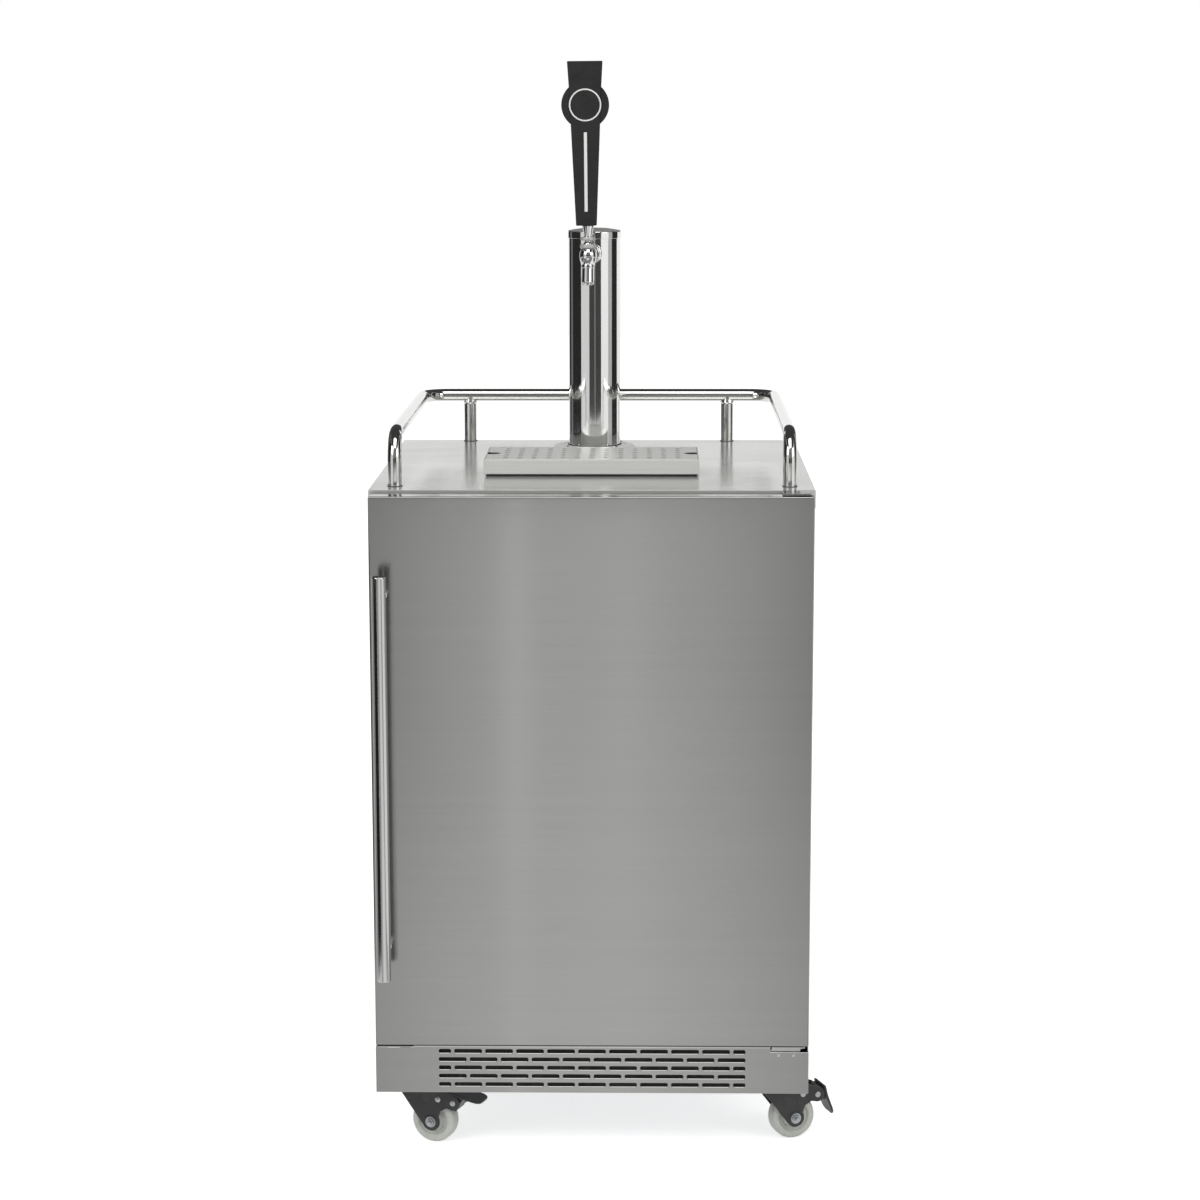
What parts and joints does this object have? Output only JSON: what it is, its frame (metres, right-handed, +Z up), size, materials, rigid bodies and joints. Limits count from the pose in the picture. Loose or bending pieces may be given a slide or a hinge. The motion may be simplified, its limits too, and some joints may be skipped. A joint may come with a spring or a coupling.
{
  "type": "kegerator",
  "caption": "Free-standing draught beer dispenser: stainless cabinet on braked swivel casters, with a hinged door, column tower with lever tap, drip tray and guard rail.",
  "frame": {"origin": "on the floor, under the middle of the overall width and depth", "axes": "+Z up, -Y out of the door towards the user, +X to the right of someone who faces the door"},
  "size_m": [0.6936, 0.6924, 1.4975],
  "materials": {
    "door_steel": "satin",
    "side_steel": "satin",
    "worktop_steel": "satin",
    "tray_steel": "satin",
    "rail_steel": "polished",
    "tower_steel": "polished",
    "bracket_steel": "satin",
    "handle_steel": "satin",
    "chrome": "polished",
    "galvanised": "satin",
    "caster_black": "satin",
    "compressor_black": "satin",
    "fin_aluminium": "satin",
    "wheel_grey": "satin",
    "handle_black": "matte",
    "fan_black": "matte",
    "liner_white": "satin",
    "light_lens": "satin",
    "clear_hose": "gloss",
    "gasket_rubber": "matte",
    "foam": "matte"
  },
  "bodies": {
    "cabinet": {"cabinet_shell": "side_steel", "cabinet_foam": "foam", "inner_liner": "liner_white", "worktop": "worktop_steel", "guard_rail": "rail_steel", "base_pan": "galvanised", "kick_plate": "door_steel", "hinge_bracket_bottom": "bracket_steel", "hinge_bracket_top": "bracket_steel", "tower_flange": "tower_steel", "column_foot_ring": "gasket_rubber", "tower_column": "tower_steel", "tower_cap": "tower_steel", "tower_insulation": "foam", "beer_line": "clear_hose", "shank": "chrome", "shank_flange": "chrome", "coupling_nut": "chrome", "faucet_body": "chrome", "faucet_bonnet": "chrome", "drip_tray_mat": "gasket_rubber", "caster_plate_front_left": "galvanised", "caster_plate_front_right": "galvanised", "caster_plate_rear_left": "galvanised", "caster_plate_rear_right": "galvanised", "compressor": "compressor_black", "condenser": "fin_aluminium", "condenser_shroud": "galvanised", "back_cover": "galvanised", "evaporator_coil": "fin_aluminium", "evaporator_cover": "liner_white", "thermostat_housing": "liner_white", "interior_light": "light_lens"},
    "door": {"door_skin": "door_steel", "door_foam": "foam", "door_liner": "liner_white", "door_gasket": "gasket_rubber", "door_handle_bar": "handle_steel", "door_handle_post_upper": "handle_steel", "door_handle_post_lower": "handle_steel"},
    "tap_lever": {"faucet_lever": "chrome", "tap_handle": "handle_black"},
    "plunger": {"faucet_plunger": "chrome"},
    "drip_tray": {"drip_tray": "tray_steel"},
    "tray_grill": {"drip_tray_grill": "tray_steel"},
    "condenser_fan": {"condenser_fan": "fan_black"},
    "circulation_fan": {"circulation_fan": "fan_black"},
    "thermostat_knob": {"thermostat_knob": "fan_black"},
    "swivel_front_left": {"caster_fork_front_left": "caster_black"},
    "wheel_front_left": {"caster_wheel_front_left": "wheel_grey"},
    "brake_front_left": {"caster_brake_front_left": "caster_black"},
    "swivel_front_right": {"caster_fork_front_right": "caster_black"},
    "wheel_front_right": {"caster_wheel_front_right": "wheel_grey"},
    "brake_front_right": {"caster_brake_front_right": "caster_black"},
    "swivel_rear_left": {"caster_fork_rear_left": "caster_black"},
    "wheel_rear_left": {"caster_wheel_rear_left": "wheel_grey"},
    "brake_rear_left": {"caster_brake_rear_left": "caster_black"},
    "swivel_rear_right": {"caster_fork_rear_right": "caster_black"},
    "wheel_rear_right": {"caster_wheel_rear_right": "wheel_grey"},
    "brake_rear_right": {"caster_brake_rear_right": "caster_black"}
  },
  "joints": [
    {"name": "door_hinge", "type": "hinge", "parent": "cabinet", "child": "door", "pos_m": [0.2875, -0.26475, 0.5], "axis": [0, 0, 1], "range_deg": [0, 110]},
    {"name": "tap_tilt", "type": "hinge", "parent": "cabinet", "child": "tap_lever", "pos_m": [-0.01052, 0.06857, 1.2369], "axis": [0.9963, -0.0854, 0], "range_deg": [0, 30]},
    {"name": "plunger_slide", "type": "slide", "parent": "cabinet", "child": "plunger", "axis": [0.0854, 0.9963, 0], "range_m": [0, 0.0074]},
    {"name": "drip_tray_lift", "type": "slide", "parent": "cabinet", "child": "drip_tray", "axis": [0, 0, 1], "range_m": [0, 0.1]},
    {"name": "grill_lift", "type": "slide", "parent": "drip_tray", "child": "tray_grill", "axis": [0, 0, 1], "range_m": [0, 0.05]},
    {"name": "condenser_fan_spin", "type": "hinge", "parent": "cabinet", "child": "condenser_fan", "pos_m": [-0.19, 0.28475, 0.196], "axis": [1, 0, 0], "continuous": true},
    {"name": "circulation_fan_spin", "type": "hinge", "parent": "cabinet", "child": "circulation_fan", "pos_m": [0, 0.26225, 0.726], "axis": [0, 1, 0], "continuous": true},
    {"name": "thermostat_turn", "type": "hinge", "parent": "cabinet", "child": "thermostat_knob", "pos_m": [0.212, 0.26725, 0.788], "axis": [0, -1, 0], "range_deg": [-150, 150]},
    {"name": "caster_swivel_front_left", "type": "hinge", "parent": "cabinet", "child": "swivel_front_left", "pos_m": [-0.25, -0.21775, 0.09], "axis": [0, 0, 1], "continuous": true},
    {"name": "wheel_roll_front_left", "type": "hinge", "parent": "swivel_front_left", "child": "wheel_front_left", "pos_m": [-0.22087, -0.22835, 0.03175], "axis": [0.342, 0.9397, 0], "continuous": true},
    {"name": "brake_lever_front_left", "type": "hinge", "parent": "swivel_front_left", "child": "brake_front_left", "pos_m": [-0.18939, -0.23981, 0.06275], "axis": [-0.342, -0.9397, 0], "range_deg": [-58, 0]},
    {"name": "caster_swivel_front_right", "type": "hinge", "parent": "cabinet", "child": "swivel_front_right", "pos_m": [0.25, -0.21775, 0.09], "axis": [0, 0, 1], "continuous": true},
    {"name": "wheel_roll_front_right", "type": "hinge", "parent": "swivel_front_right", "child": "wheel_front_right", "pos_m": [0.27913, -0.20715, 0.03175], "axis": [-0.342, 0.9397, 0], "continuous": true},
    {"name": "brake_lever_front_right", "type": "hinge", "parent": "swivel_front_right", "child": "brake_front_right", "pos_m": [0.31061, -0.19569, 0.06275], "axis": [0.342, -0.9397, 0], "range_deg": [0, 58]},
    {"name": "caster_swivel_rear_left", "type": "hinge", "parent": "cabinet", "child": "swivel_rear_left", "pos_m": [-0.25, 0.27725, 0.09], "axis": [0, 0, 1], "continuous": true},
    {"name": "wheel_roll_rear_left", "type": "hinge", "parent": "swivel_rear_left", "child": "wheel_rear_left", "pos_m": [-0.27913, 0.28785, 0.03175], "axis": [-0.342, -0.9397, 0], "continuous": true},
    {"name": "brake_lever_rear_left", "type": "hinge", "parent": "swivel_rear_left", "child": "brake_rear_left", "pos_m": [-0.31061, 0.29931, 0.06275], "axis": [0.342, 0.9397, 0], "range_deg": [-58, 0]},
    {"name": "caster_swivel_rear_right", "type": "hinge", "parent": "cabinet", "child": "swivel_rear_right", "pos_m": [0.25, 0.27725, 0.09], "axis": [0, 0, 1], "continuous": true},
    {"name": "wheel_roll_rear_right", "type": "hinge", "parent": "swivel_rear_right", "child": "wheel_rear_right", "pos_m": [0.21947, 0.28263, 0.03175], "axis": [-0.1736, -0.9848, 0], "continuous": true},
    {"name": "brake_lever_rear_right", "type": "hinge", "parent": "swivel_rear_right", "child": "brake_rear_right", "pos_m": [0.18648, 0.28845, 0.06275], "axis": [0.1736, 0.9848, 0], "range_deg": [-58, 0]}
  ],
  "couplings": [
    {"joint": "plunger_slide", "follows": "tap_tilt", "m_per_rad": 0.014}
  ]
}
